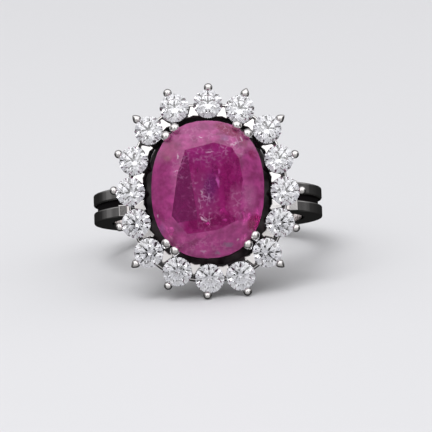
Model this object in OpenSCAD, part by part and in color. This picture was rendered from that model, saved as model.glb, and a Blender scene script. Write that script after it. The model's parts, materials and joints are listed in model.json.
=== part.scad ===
// Cluster ring lying on its side: a cushion-oval ruby in a high basket with four
// pairs of ball claws, a halo of sixteen brilliants in leaf-shaped claws, and a
// double-band shank. The origin is the centre of the finger hole, and +Z is up.

/* [Shank] */
// Diameter of the finger hole
finger_d = 17; // [15:0.1:20]
// Radial thickness of the shank
shank_t = 1.6; // [1.3:0.1:2.2]
// Width of the shank along the finger
shank_w = 2.6; // [2.2:0.1:3.4]
// Width of the groove between the two bands
groove_w = 0.6; // [0.3:0.05:0.8]
// Depth of the groove
groove_depth = 0.35; // [0.25:0.05:0.8]
// Radius of the rounded edges of each band
band_round = 0.16; // [0.1:0.01:0.3]
// Distance from the middle plane at which the shoulders leave the shank
shoulder_x = 7.8; // [7.45:0.05:8.2]
// Turn of the head on the shank, in degrees
head_turn = -2; // [-4:0.5:4]

/* [Ruby] */
// Width of the ruby
ruby_w = 9.5; // [8.6:0.1:9.8]
// Length of the ruby
ruby_l = 11.65; // [10.8:0.05:11.8]
// Squareness of the ruby's outline, 2 for an ellipse
ruby_power = 2.3; // [2:0.1:2.6]
// Height of the crown above the girdle
ruby_crown = 1.55; // [1.2:0.05:1.8]
// Depth of the pavilion below the girdle
ruby_pavilion = 3.9; // [3.4:0.1:4.2]
// Height of the girdle above the finger's axis
ruby_level = 14.9; // [14.6:0.1:15.4]

/* [Diamonds] */
// Diameter of each brilliant
diamond_d = 2.5; // [2.3:0.01:2.55]
// Half width of the ring on which the brilliants' centres lie
halo_a = 6.55; // [6.5:0.05:6.8]
// Half length of that ring
halo_b = 7.4; // [7.35:0.05:7.7]
// Squareness of that ring
halo_power = 2.3; // [2:0.1:2.5]
// Height of the brilliants' girdles above the finger's axis
halo_level = 13.2; // [13:0.1:13.6]
// Outward lean of each brilliant, in degrees
stone_lean = 8; // [0:1:12]

/* [Claws] */
// Distance of an outer claw's ball from its brilliant's axis
claw_reach = 1.4; // [1.35:0.01:1.45]
// Diameter of an outer claw's ball
claw_ball_d = 0.74; // [0.66:0.02:0.8]
// Diameter of a ruby claw's ball
ruby_ball_d = 0.86; // [0.8:0.02:0.88]
// Gap between each stone and the metal
stone_gap = 0.03; // [0.02:0.01:0.05]

/* [Resting pose] */
// Sideways lean at which the ring balances on its lowest claw, in degrees
rest_roll = 2.2; // [0:0.1:4]

/* [Hidden] */
$fn = 48;
stone_count = 16;
stone_step = 360 / stone_count;

// One row for each brilliant, from the top one round to its left.
// Columns: shift of the stone round the halo and turn of its claw about the stone, both in
// degrees, and shift of the stone outwards in millimetres
halo_chart = [
  [0.0, -1, 0.07],
  [-0.6, 2, 0.19],
  [-1.1, 3, -0.08],
  [0.1, -2, 0],
  [0.4, -5, 0],
  [1.9, -13, -0.19],
  [1.3, -6, -0.05],
  [1.9, -13, -0.18],
  [1.3, -9, 0],
  [-1.2, 2, 0.24],
  [-1.1, 6, -0.05],
  [-0.9, 5, -0.15],
  [0.2, 3, 0],
  [2.2, -8, -0.22],
  [1.7, -8, 0.03],
  [1.4, 3, 0.05]
];

// One row for each pair of ruby claws. Columns: direction of the pair, half its spread, in degrees
ruby_claw_chart = [
  [60, 5.6],
  [123.5, 4.9],
  [237.5, 4.6],
  [310.5, 4.7]
];

// One row for each corner of the ruby's irregular table. Columns: x, y
ruby_table_chart = [
  [2.93, 0.65],
  [2.6, 2.47],
  [2.0, 3.36],
  [0.56, 3.79],
  [-1.9, 3.15],
  [-2.54, 1.08],
  [-3.0, -2.4],
  [-1.7, -3.92],
  [0.9, -3.54],
  [2.5, -2.74]
];

// One row for each section of a leaf-shaped claw, from its root to its tip.
// Columns: share of the length, half width, ridge outside, thickness inside
leaf_chart = [
  [0, 0.36, 0.22, 0.22],
  [0.3, 0.6, 0.36, 0.22],
  [0.6, 0.92, 0.4, 0.2],
  [0.84, 0.56, 0.3, 0.18],
  [1, 0.22, 0.16, 0.14]
];

// One row for each level of a shoulder arm, which starts with a flat-topped step. Columns: share
// of the way from the shank to the rail, outer edge and inner edge, both measured from the straight
// line between the two
shoulder_chart = [
  [-0.11, -0.4, -1.3],
  [0, 0, -1.3],
  [0.2, 0.2, -1.3],
  [0.215, -0.5, -1.35],
  [0.3, -0.62, -1.5],
  [0.45, -0.54, -1.45],
  [0.75, -0.28, -1.25],
  [1.06, 0.11, -0.89]
];

// One row for each ring of corners on the ruby's pavilion.
// Columns: share of the outline, share of the depth, number of corners, direction of the first
ruby_pavilion_chart = [
  [0.78, 0.4, 16, 11.25],
  [0.42, 0.76, 8, 0]
];

finger_r = finger_d / 2;
shank_r = finger_r + shank_t;
band_w = (shank_w - groove_w) / 2;

// The outer claws: the ball over the girdle, the upright end under it, and the leaf's ends
claw_ball_r = claw_ball_d / 2;
claw_ball_up = 0.16;
claw_wire_r = 0.26;
claw_wire_down = 0.6;
claw_wire_in = 0.06;
leaf_root_up = 0.54;
leaf_tip_in = 0.1;
leaf_tip_down = 0.42;

// The ruby's claws: shares of its outline at the foot, the knee and the ball, and their heights
ruby_ball_r = ruby_ball_d / 2;
ruby_wire_r = 0.3;
ruby_knee_r = 0.31;
ruby_foot_share = 0.87;
ruby_knee_share = 1.05;
ruby_ball_share = 1.02;
ruby_foot_up = 0.25;
ruby_knee_down = 0.9;
ruby_ball_up = 0.34;

// The ruby: the break in its crown, its girdle and the keel of its pavilion
ruby_break_out = 0.58;
ruby_break_up = 0.56;
ruby_girdle_up = 0.1;
ruby_girdle_down = 0.12;
ruby_girdle_steps = 40;
ruby_keel = 0.9;

// Proportions of a round brilliant, as shares of its radius
diamond_r = diamond_d / 2;
half_facet = 180 / 8;
table_share = 0.57;
crown_share = 0.3;
pavilion_share = 0.86;
girdle_share = 0.04;
star_share = 0.5;
culet_share = 0.22;
kite_share = table_share * cos(half_facet) + star_share * (1 - table_share * cos(half_facet));
table_z = girdle_share + crown_share;
kite_z = girdle_share + crown_share * (1 - kite_share * cos(half_facet)) / (1 - table_share);
low_z = -girdle_share - pavilion_share * (1 - culet_share * cos(half_facet));
culet_z = -girdle_share - pavilion_share;
stone_turn = 23;

// The cup-shaped foot rail of the head, the rail that the brilliants sit on and the ruby's rail
foot_a = 4.3;
foot_b = 5.3;
foot_z = 9.4;
foot_h = 1.5;
foot_w = 0.9;
foot_flare = 0.7;
rail_in = 1.3;
rail_out = 0.2;
rail_flare = 0.32;
rail_z = 11.5;
rail_top = 12.75;
basket_share = 0.9;
basket_z = 12.4;
basket_h = 0.5;
basket_w = 0.6;
rail_steps = 64;

// The small plates between neighbouring brilliants, on the ruby's side
plate_out = 0.2;
plate_in = 1.16;
plate_half_w = 0.5;
plate_tip_half_w = 0.08;
plate_hole = 0.17;
plate_hole_in = 0.34;
plate_top = 13.52;
plate_foot = 12.5;

// Radius of a rounded oval in the direction of an angle
function oval_r(a, b, p, ang) =
  pow(pow(abs(cos(ang)) / a, p) + pow(abs(sin(ang)) / b, p), -1 / p);
function oval_points(a, b, p, n) =
  [for (k = [0:n - 1]) let (ang = 360 * k / n) oval_r(a, b, p, ang) * [cos(ang), sin(ang)]];

// The halo: the direction, the centre and the claw of each brilliant, in the head's own
// frame, where x is right, y is up the head and z points away from the finger
function stone_angle(i) = 90 + stone_step * i + halo_chart[i][0];
function stone_centre(i) =
  let (ang = stone_angle(i), r = oval_r(halo_a, halo_b, halo_power, ang) + halo_chart[i][2])
  [r * cos(ang), r * sin(ang), halo_level];
function leaned(p) =
  [p[0] * cos(stone_lean) + p[2] * sin(stone_lean), p[1], p[2] * cos(stone_lean) - p[0] * sin(stone_lean)];
function turned(p, ang) =
  [p[0] * cos(ang) - p[1] * sin(ang), p[0] * sin(ang) + p[1] * cos(ang), p[2]];
function at_stone(i, p) = stone_centre(i) + turned(leaned(p), stone_angle(i));
function claw_point(i, reach, height) =
  at_stone(i, [reach * cos(halo_chart[i][1]), reach * sin(halo_chart[i][1]), height]);
function claw_ball_centre(i) = claw_point(i, claw_reach, claw_ball_up);

// How far the ring tilts back: it rests on its lowest claw and the back of its shank.
// In the upright ring the finger's axis is z and the head looks along -y.
function head_to_ring(p) = let (q = turned(p, head_turn)) [q[0], -q[2], q[1]];
ring_balls = [for (i = [0:stone_count - 1]) head_to_ring(claw_ball_centre(i))];
function floor_normal(tilt) = [-sin(rest_roll) * cos(tilt), -sin(tilt), cos(rest_roll) * cos(tilt)];
function shank_low(n) =
  -(shank_r - band_round) * norm([n[0], n[1]]) - (shank_w / 2 - band_round) * n[2] - band_round;
function rest_error(tilt) =
  let (n = floor_normal(tilt)) min([for (c = ring_balls) n * c]) - claw_ball_r - shank_low(n);
function rest_solve(low, high, steps) =
  let (mid = (low + high) / 2)
  steps == 0 ? mid
    : rest_error(mid) > 0 ? rest_solve(low, mid, steps - 1)
    : rest_solve(mid, high, steps - 1);
rest_tilt = rest_solve(0, 45, 24);

stone_names = ["diamond_01", "diamond_02", "diamond_03", "diamond_04", "diamond_05", "diamond_06",
  "diamond_07", "diamond_08", "diamond_09", "diamond_10", "diamond_11", "diamond_12", "diamond_13",
  "diamond_14", "diamond_15", "diamond_16"];

// Lays the upright ring on its side
module rest() {
  rotate([-rest_tilt, 0, 0]) rotate([0, rest_roll, 0]) children();
}

// Puts what is drawn in the head's frame on the upright ring
module on_head() {
  rotate([90, 0, 0]) rotate([0, 0, head_turn]) children();
}

// Puts what is drawn round a brilliant's axis in its seat
module on_stone(i) {
  translate(stone_centre(i)) rotate([0, stone_lean, stone_angle(i)]) children();
}

// A round rod between two points
module rod(from, to, r) {
  d = to - from;
  translate(from) rotate([0, acos(d[2] / norm(d)), atan2(d[1], d[0])]) cylinder(r = r, h = norm(d));
}

// Half of the shank's section: one band with rounded outer edges
module band_section() {
  straight = shank_t - band_round;
  translate([finger_r, 0]) square([straight, band_w]);
  translate([finger_r, band_round]) square([shank_t, band_w - 2 * band_round]);
  for (y = [band_round, band_w - band_round]) translate([finger_r + straight, y]) circle(band_round);
}

// Two parallel bands joined by a web at the bottom of the groove
module shank() {
  rotate_extrude(angle = 360) {
    translate([0, groove_w / 2]) band_section();
    translate([0, -groove_w / 2 - band_w]) band_section();
    translate([finger_r, -groove_w]) square([shank_t - groove_depth, 2 * groove_w]);
  }
}

// The shoulders rise from both bands to the rail under the brilliants, in the ring's plane
module shoulders() {
  foot = [shoulder_x, -sqrt(pow(shank_r, 2) - pow(shoulder_x, 2))];
  way = [halo_a, -rail_z] - foot;
  outer = [for (s = shoulder_chart) foot + s[0] * way + [s[1], 0]];
  inner = [for (s = shoulder_chart) foot + s[0] * way + [s[2], 0]];
  back = [for (k = [len(inner) - 1:-1:0]) inner[k]];
  for (side = [0, 1], edge = [groove_w / 2, -groove_w / 2 - band_w])
    mirror([side, 0, 0]) translate([0, 0, edge]) linear_extrude(band_w) polygon(concat(outer, back));
}

// A flat rail that follows a rounded oval
module rail(a, b, p, w_in, w_out, z, h) {
  translate([0, 0, z]) linear_extrude(h) difference() {
    polygon(oval_points(a + w_out, b + w_out, p, rail_steps));
    polygon(oval_points(a - w_in, b - w_in, p, rail_steps));
  }
}

// A solid rounded oval, wider or narrower than a rail's line by a width that grows with its height
module oval_cone(a, b, p, low_w, high_w, z, h) {
  low = oval_points(a + low_w, b + low_w, p, rail_steps);
  high = oval_points(a + high_w, b + high_w, p, rail_steps);
  convex(concat([for (q = low) [q[0], q[1], z]], [for (q = high) [q[0], q[1], z + h]]));
}

// The foot rail, which opens upwards behind the roots of the leaves
module foot_rail() {
  difference() {
    oval_cone(foot_a, foot_b, ruby_power, foot_w / 2, foot_w / 2 + foot_flare, foot_z, foot_h);
    oval_cone(foot_a, foot_b, ruby_power, -foot_w / 2 - 0.2 * foot_flare,
      -foot_w / 2 + 1.2 * foot_flare, foot_z - 0.2 * foot_h, 1.4 * foot_h);
  }
}

// A ridged leaf from the foot rail to the tip of an outer claw
module leaf(i) {
  ang = stone_angle(i);
  root = turned([oval_r(foot_a, foot_b, ruby_power, ang), 0, foot_z + leaf_root_up], ang);
  tip = claw_point(i, claw_reach - leaf_tip_in, -leaf_tip_down);
  way = tip - root;
  along = way / norm(way);
  across = cross([0, 0, 1], along) / norm(cross([0, 0, 1], along));
  out = cross(along, across);
  n = len(leaf_chart);
  points = [for (s = leaf_chart) let (c = root + s[0] * way)
    each [c + across * s[1], c + out * s[2], c - across * s[1], c - out * s[3]]];
  sides = [for (k = [0:n - 2], j = [0:3]) let (p = 4 * k + j, q = 4 * k + (j + 1) % 4)
    each [[q, p, q + 4], [q + 4, p, p + 4]]];
  last = 4 * (n - 1);
  caps = [[0, 1, 2], [0, 2, 3], [last + 2, last + 1, last], [last + 3, last + 2, last]];
  polyhedron(points = points, faces = concat(sides, caps));
}

// The room that a brilliant takes in the metal, with its gap
module diamond_room(i) {
  g = stone_gap;
  r = diamond_r;
  on_stone(i) rotate_extrude(angle = 360) polygon([
    [0, culet_z * r - 2 * g],
    [culet_share * r + g, low_z * r - g],
    [r + g, -girdle_share * r - g],
    [r + g, girdle_share * r + g],
    [kite_share * r + g, kite_z * r + g],
    [table_share * r + g, table_z * r + g],
    [0, table_z * r + g]
  ]);
}

// One outer claw: its leaf, its upright end and its ball
module outer_claw(i) {
  leaf(i);
  rod(claw_point(i, claw_reach - claw_wire_in, -claw_wire_down), claw_ball_centre(i), claw_wire_r);
  translate(claw_ball_centre(i)) sphere(claw_ball_r);
}

// A small pierced plate that holds two neighbouring brilliants
module inner_plate(i) {
  next = (i + 1) % stone_count;
  ang = (stone_angle(i) + stone_angle(next) + (next == 0 ? 360 : 0)) / 2;
  r = oval_r(halo_a, halo_b, halo_power, ang) + (halo_chart[i][2] + halo_chart[next][2]) / 2;
  rotate([0, 0, ang]) translate([r, 0, plate_foot]) linear_extrude(plate_top - plate_foot) difference() {
    polygon([[-plate_in, -plate_half_w], [-plate_out, -plate_tip_half_w],
      [-plate_out, plate_tip_half_w], [-plate_in, plate_half_w]]);
    translate([plate_hole_in - plate_in, 0]) circle(plate_hole);
  }
}

// Outline of the ruby, larger or smaller by a share
function ruby_point(ang, share, z) =
  let (r = share * oval_r(ruby_w / 2, ruby_l / 2, ruby_power, ang)) [r * cos(ang), r * sin(ang), z];

// One ruby claw: from the foot rail, out to the girdle and over it
module ruby_claw(ang) {
  foot = ruby_point(ang, ruby_foot_share, foot_z + ruby_foot_up);
  knee = ruby_point(ang, ruby_knee_share, ruby_level - ruby_knee_down);
  ball = ruby_point(ang, ruby_ball_share, ruby_level + ruby_ball_up);
  rod(foot, knee, ruby_wire_r);
  translate(knee) sphere(ruby_knee_r);
  rod(knee, ball, ruby_wire_r);
  translate(ball) sphere(ruby_ball_r);
}

// The head without the stones' room
module head_body() {
  foot_rail();
  difference() {
    rail(halo_a, halo_b, halo_power, rail_in, rail_out, rail_z, rail_top - rail_z);
    oval_cone(halo_a, halo_b, halo_power, -rail_in, 1.2 * rail_flare - rail_in, rail_z,
      1.2 * (rail_top - rail_z));
  }
  rail(basket_share * ruby_w / 2, basket_share * ruby_l / 2, ruby_power,
    basket_w / 2, basket_w / 2, basket_z, basket_h);
  for (i = [0:stone_count - 1]) inner_plate(i);
  for (row = ruby_claw_chart, side = [-1, 1]) ruby_claw(row[0] + side * row[1]);
  for (i = [0:stone_count - 1]) outer_claw(i);
}

// All the metal, soldered into one piece
module ring_mount() {
  color("silver") rest() {
    shank();
    difference() {
      union() {
        shoulders();
        on_head() head_body();
      }
      cylinder(r = finger_r, h = 3 * finger_r, center = true);
      on_head() ruby_room();
      on_head() for (i = [0:stone_count - 1]) diamond_room(i);
    }
  }
}

// Corners of the ruby, grown by a gap
function ruby_corners(g) =
  let (k = 1 + 2 * g / ruby_w, top = ruby_crown + g, out = ruby_break_out, deep = ruby_pavilion)
  concat(
    [for (c = ruby_table_chart) [c[0] * k, c[1] * k, ruby_level + top]],
    [for (c = ruby_table_chart) let (e = ruby_point(atan2(c[1], c[0]), k, 0))
      [c[0] * (1 - out) + e[0] * out, c[1] * (1 - out) + e[1] * out, ruby_level + top * ruby_break_up]],
    [for (z = [-ruby_girdle_down - g, ruby_girdle_up + g], n = [0:ruby_girdle_steps - 1])
      ruby_point(360 * n / ruby_girdle_steps, k, ruby_level + z)],
    [for (s = ruby_pavilion_chart, n = [0:s[2] - 1])
      ruby_point(s[3] + 360 * n / s[2], s[0] * k, ruby_level - s[1] * deep - g)],
    [for (y = [-ruby_keel, ruby_keel]) [0, y, ruby_level - deep - g]]
  );

// The smallest convex solid round some points
module convex(points) {
  hull() polyhedron(points = points, faces = [[for (i = [0:len(points) - 1]) i]]);
}

// The room that the ruby takes in the metal, with its gap
module ruby_room() {
  convex(ruby_corners(stone_gap));
}

// Cushion-oval mixed cut with an irregular table
module ruby() {
  color("mediumvioletred") rest() on_head() convex(ruby_corners(0));
}

// Round brilliant: table, stars, kites, halves, girdle and pavilion
module brilliant() {
  scale(diamond_r) convex(concat(
    [for (k = [0:7]) turned([table_share, 0, table_z], 45 * k)],
    [for (k = [0:7]) turned([kite_share, 0, kite_z], 45 * k + half_facet)],
    [for (z = [-girdle_share, girdle_share], k = [0:15]) turned([1, 0, z], half_facet * k)],
    [for (k = [0:7]) turned([culet_share, 0, low_z], 45 * k + half_facet)],
    [[0, 0, culet_z]]
  ));
}

// One brilliant in its seat, each turned a little further than the last
module diamond(i) {
  color("azure") rest() on_head() on_stone(i) rotate([0, 0, stone_turn * i]) brilliant();
}

ring_mount();
ruby();
for (i = [0:stone_count - 1]) diamond(i);
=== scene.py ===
import json
import math

import bmesh
import bpy
from mathutils import Matrix, Vector


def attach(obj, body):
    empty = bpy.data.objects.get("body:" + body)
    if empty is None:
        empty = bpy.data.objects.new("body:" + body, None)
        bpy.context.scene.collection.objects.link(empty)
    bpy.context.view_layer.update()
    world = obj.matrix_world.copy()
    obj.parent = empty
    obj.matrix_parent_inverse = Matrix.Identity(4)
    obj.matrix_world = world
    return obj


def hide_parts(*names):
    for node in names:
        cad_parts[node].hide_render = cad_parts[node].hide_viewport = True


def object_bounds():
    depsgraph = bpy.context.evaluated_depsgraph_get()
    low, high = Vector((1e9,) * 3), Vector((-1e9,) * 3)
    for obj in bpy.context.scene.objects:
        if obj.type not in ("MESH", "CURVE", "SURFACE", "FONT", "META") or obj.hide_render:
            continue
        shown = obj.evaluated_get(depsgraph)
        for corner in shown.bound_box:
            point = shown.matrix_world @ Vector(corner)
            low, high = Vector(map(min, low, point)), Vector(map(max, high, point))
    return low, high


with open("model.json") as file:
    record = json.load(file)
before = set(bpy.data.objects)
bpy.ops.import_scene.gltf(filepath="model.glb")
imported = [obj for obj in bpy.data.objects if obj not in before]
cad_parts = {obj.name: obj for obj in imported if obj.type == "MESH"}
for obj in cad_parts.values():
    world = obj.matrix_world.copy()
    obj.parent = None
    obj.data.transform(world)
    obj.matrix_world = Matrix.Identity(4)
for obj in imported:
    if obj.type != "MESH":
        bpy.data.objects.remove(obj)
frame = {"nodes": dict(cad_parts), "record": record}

scene = bpy.context.scene
cadLow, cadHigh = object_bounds()
print("frame loaded")

# The ring's own directions, from its finger hole. Shapes are worked out in millimetres in one
# of two frames, and the last step of each piece puts it in the model's frame: shankFrame has the
# finger hole along z and the head at -y, and headFrame has x to the right, y up the head and z
# away from the finger.
mm = 0.001
fingerHole = frame["record"]["mounts"][0]
fingerRadius = fingerHole["dims"]["r_mm"]
fingerAxis = Vector(fingerHole["axis"]).normalized()
headOut = Vector((0, -fingerAxis.z, fingerAxis.y)).normalized()
sideways = fingerAxis.cross(headOut)
headTurn = math.radians(-2)     # how far the head is turned on the shank


def axesMatrix(xAxis, yAxis, zAxis):
    return (Matrix((xAxis, yAxis, zAxis)).transposed() * mm).to_4x4()


shankFrame = axesMatrix(sideways, -headOut, fingerAxis)
headRight = sideways * math.cos(headTurn) + fingerAxis * math.sin(headTurn)
headUp = fingerAxis * math.cos(headTurn) - sideways * math.sin(headTurn)
headFrame = axesMatrix(headRight, headUp, headOut)
shankToHead = headFrame.inverted() @ shankFrame


def polar(radius, angle, height):
    return Vector((radius * math.cos(angle), radius * math.sin(angle), height))


def fullTurn(steps):
    return [2 * math.pi * k / steps for k in range(steps)]


def addObject(name, data):
    thing = bpy.data.objects.new(name, data)
    scene.collection.objects.link(thing)
    return thing


# Camera: a long lens that looks a little from below the head's own normal
camera = {
    "elevation": 13.2,          # degrees above the floor
    "aside": 0.5,               # degrees to the left
    "distance": 300,            # mm from the middle of the finger hole
    "focalPixels": 3387,        # the lens, as the picture's own pixels
    "headHeight": 13.3,         # mm from the finger's axis to the middle of the head
    "headPixel": (207.8, 191.3),
    "pictureSize": 432,
    "sensor": 36,               # mm
    "clip": (0.01, 20),         # m
}


def placeCamera(look):
    tilt = math.radians(look["elevation"])
    aside = math.radians(look["aside"])
    level = Vector((math.sin(aside), math.cos(aside), 0))
    ahead = level * math.cos(tilt) - Vector((0, 0, math.sin(tilt)))
    up = (headUp - ahead * headUp.dot(ahead)).normalized()
    right = ahead.cross(up)
    middle = headOut * look["headHeight"] * mm
    depth = look["distance"] * mm + middle.dot(ahead)
    perPixel = depth / look["focalPixels"]
    half = look["pictureSize"] / 2
    offset = right * (look["headPixel"][0] - half) - up * (look["headPixel"][1] - half)
    data = bpy.data.cameras.new("longLens")
    data.sensor_width = look["sensor"]
    data.lens = look["focalPixels"] / look["pictureSize"] * look["sensor"]
    data.clip_start, data.clip_end = look["clip"]
    lens = addObject("longLens", data)
    turn = Matrix((right, up, -ahead)).transposed().to_4x4()
    lens.matrix_world = Matrix.Translation(middle - ahead * depth - offset * perPixel) @ turn
    scene.camera = lens
    return right, up, ahead


pictureRight, pictureUp, ahead = placeCamera(camera)
print("camera placed")


# Materials

def linearColour(code):
    parts = [int(code[k:k + 2], 16) / 255 for k in (1, 3, 5)]
    return [c / 12.92 if c <= 0.04045 else ((c + 0.055) / 1.055) ** 2.4 for c in parts] + [1]


def addNode(tree, kind, settings=None):
    # Each setting is a property of the node, or an input that gets a value or a link
    node = tree.nodes.new(kind)
    for name, value in (settings or {}).items():
        if isinstance(value, bpy.types.NodeSocket):
            tree.links.new(value, node.inputs[name])
        elif isinstance(name, int) or name in node.inputs:
            node.inputs[name].default_value = value
        else:
            setattr(node, name, value)
    return node


def newMaterial(name):
    material = bpy.data.materials.new(name)
    material.use_nodes = True
    material.node_tree.nodes.clear()
    return material


def endMaterial(material, settings):
    tree = material.node_tree
    surface = addNode(tree, "ShaderNodeBsdfPrincipled", settings).outputs[0]
    addNode(tree, "ShaderNodeOutputMaterial", {"Surface": surface})
    return material


def coordinatesIn(tree, pieceFrame):
    # Places in a piece's own frame in millimetres, from the object's coordinates
    turn = pieceFrame.inverted().to_3x3().normalized().to_euler()
    place = addNode(tree, "ShaderNodeTexCoord").outputs["Object"]
    return addNode(tree, "ShaderNodeMapping", {
        "Rotation": turn, "Scale": (1 / mm,) * 3, "Vector": place}).outputs["Vector"]


def together(tree, operation, values):
    # One value from several, with the same operation between them
    whole = values[0]
    for value in values[1:]:
        whole = addNode(tree, "ShaderNodeMath", {
            "operation": operation, 0: whole, 1: value}).outputs[0]
    return whole


def paintOver(tree, tone, layers):
    # Colours laid over a tone. Each layer is a colour and the share of it that shows.
    for colour, share in layers:
        tone = addNode(tree, "ShaderNodeMix", {
            "data_type": "RGBA", 0: share, 6: tone, 7: colour}).outputs[2]
    return tone


noiseSpan = (0.35, 0.65)        # nearly all of a noise lies between these
hardEdge = 0.001                # mm, so narrow that it looks sharp
whiteGoldLook = {
    "colour": "#F3F0F0",
    "shade": "#E9E5E5",
    "roughness": (0.02, 0.06),
    "roughnessSpan": (0.3, 0.7),  # values of the noise between which it changes
    "cloudSize": 1.6,           # mm, patches where the polish differs
    "scratchSize": 0.07,        # mm, coarser than real hairlines, so that they show
    "scratchDepth": 0.02,
    # painted shade: a near-black colour for the groove and the inside of the head round the ruby
    "paintedShade": "#241E22",
    "paintedShadeRoughness": 0.4,      # how much the painted shade dulls the metal
    "grooveHalf": 0.31,         # mm, half width of the painted shade in the groove
    "grooveReach": (9.6, 10.02),  # mm from the finger's axis
    "grooveFade": 0.1,          # mm
    "insideHalf": (5.75, 6.8),  # mm, half sizes of the painted shade inside the head
    "insideReach": (9.4, 13.2),  # mm, its lowest and highest place
    "insideFacing": 0.3,        # faces there that look forwards more than this get painted shade too
    "insideShade": (0.85, 0.98),  # how much painted shade there is, from place to place
    "sharpAngle": 35,           # degrees, edges that turn more stay crisp
}


def paintedShadeMask(tree, look, cloud):
    # Painted shade: the groove of the shank, and the faces round the ruby marked as inside
    place = coordinatesIn(tree, shankFrame)
    height = addNode(tree, "ShaderNodeSeparateXYZ", {"Vector": place}).outputs["Z"]
    height = addNode(tree, "ShaderNodeMath", {"operation": "ABSOLUTE", 0: height}).outputs[0]
    flat = addNode(tree, "ShaderNodeVectorMath", {
        "operation": "MULTIPLY", 0: place, 1: (1, 1, 0)}).outputs[0]
    radius = addNode(tree, "ShaderNodeVectorMath", {
        "operation": "LENGTH", 0: flat}).outputs["Value"]
    low, high = look["grooveReach"]
    half = look["grooveHalf"]
    edges = [(radius, high, high - look["grooveFade"]), (radius, low - hardEdge, low),
             (height, half + hardEdge, half)]
    groove = together(tree, "MULTIPLY", [addNode(tree, "ShaderNodeMapRange", {
        "From Min": unshaded, "From Max": shaded, "Value": value}).outputs[0]
        for value, unshaded, shaded in edges])
    inside = addNode(tree, "ShaderNodeAttribute", {"attribute_name": "inside"}).outputs["Fac"]
    amount = addNode(tree, "ShaderNodeMapRange", {
        "From Min": noiseSpan[0], "From Max": noiseSpan[1], "To Min": look["insideShade"][0],
        "To Max": look["insideShade"][1], "Value": cloud}).outputs[0]
    inside = together(tree, "MULTIPLY", [inside, amount])
    return together(tree, "MAXIMUM", [groove, inside])


def makeWhiteGold(look):
    # White gold, cast, soldered and polished, then rhodium plated. It is a clean, cool mirror
    # with faint hairlines and slightly duller patches where the buff did not reach. Painted
    # shade turns the metal black in the groove of the shank and round the ruby inside the
    # head, where shade falls.
    material = newMaterial("polishedWhiteGold")
    tree = material.node_tree
    place = coordinatesIn(tree, headFrame)
    cloud, hair = [addNode(tree, "ShaderNodeTexNoise", {
        "Scale": 1 / size, "Detail": detail, "Vector": place}).outputs["Fac"]
        for size, detail in ((look["cloudSize"], 3), (look["scratchSize"], 2))]
    # painted shade: dark where shade falls, in the groove and round the ruby
    paintedShade = paintedShadeMask(tree, look, cloud)
    tone = paintOver(tree, linearColour(look["colour"]), [
        (linearColour(look["shade"]), cloud), (linearColour(look["paintedShade"]), paintedShade)])
    rough = addNode(tree, "ShaderNodeMapRange", {
        "From Min": look["roughnessSpan"][0], "From Max": look["roughnessSpan"][1],
        "To Min": look["roughness"][0], "To Max": look["roughness"][1],
        "Value": cloud}).outputs[0]
    rough = addNode(tree, "ShaderNodeMath", {
        "operation": "MULTIPLY_ADD", 0: paintedShade, 1: look["paintedShadeRoughness"], 2: rough}).outputs[0]
    bump = addNode(tree, "ShaderNodeBump", {
        "Strength": look["scratchDepth"], "Distance": look["scratchSize"] * mm,
        "Height": hair}).outputs[0]
    return endMaterial(material, {
        "Metallic": 1, "Base Color": tone, "Roughness": rough, "Normal": bump})


diamondLook = {"colour": "#E6E6EB", "ior": 2.42}


def makeDiamond(look):
    # Colourless diamond, cut and polished: a high index, so it mirrors its surroundings from
    # the facets at its back as small bright and dark patches.
    return endMaterial(newMaterial("cutDiamond"), {
        "Base Color": linearColour(look["colour"]), "Roughness": 0, "IOR": look["ior"],
        "Transmission Weight": 1})


rubyLook = {
    "crown": ("#C94C9E", "#993274"),
    "table": ("#871A60", "#A62478"),
    "tableHeight": 16.44,       # mm in the head's frame, just under the table
    "tableEdge": 0.004,         # mm
    "cloudSize": 0.8,           # mm
    "streakSize": (0.5, 1.4),   # mm across and along the stone
    "grainSize": 0.3,           # mm
    "grainMiddle": 0.5,         # value of the noise where no grain shows
    "grainPale": ("#E07CBC", 0.7),  # colour, and the value where it is full
    "grainDark": ("#6A1048", 0.3),
    "grainShare": 0.13,
    "wobble": 0.5,              # mm by which the edges of the marks wander
    "wobbleSize": 0.3,          # mm
    "feather": "#EBB0DC",
    "featherSize": 0.5,         # mm, size of the cells whose walls are the cracks
    "featherWidth": 0.11,       # as a share of that size
    "featherBreak": 0.6,        # mm, size of the places where the cracks fade
    "featherFade": (0.42, 0.6),  # values of the noise where they are gone and whole
    "ior": 1.77,
    "clear": 0.5,               # share of light that goes through rather than scatters
    "specular": 0.2,
    "roughness": 0.04,
    "sharpAngle": 10,           # degrees, edges that turn more stay crisp
}
markDepth = 1000                # mm, so deep that a mark goes right through the stone
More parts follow.
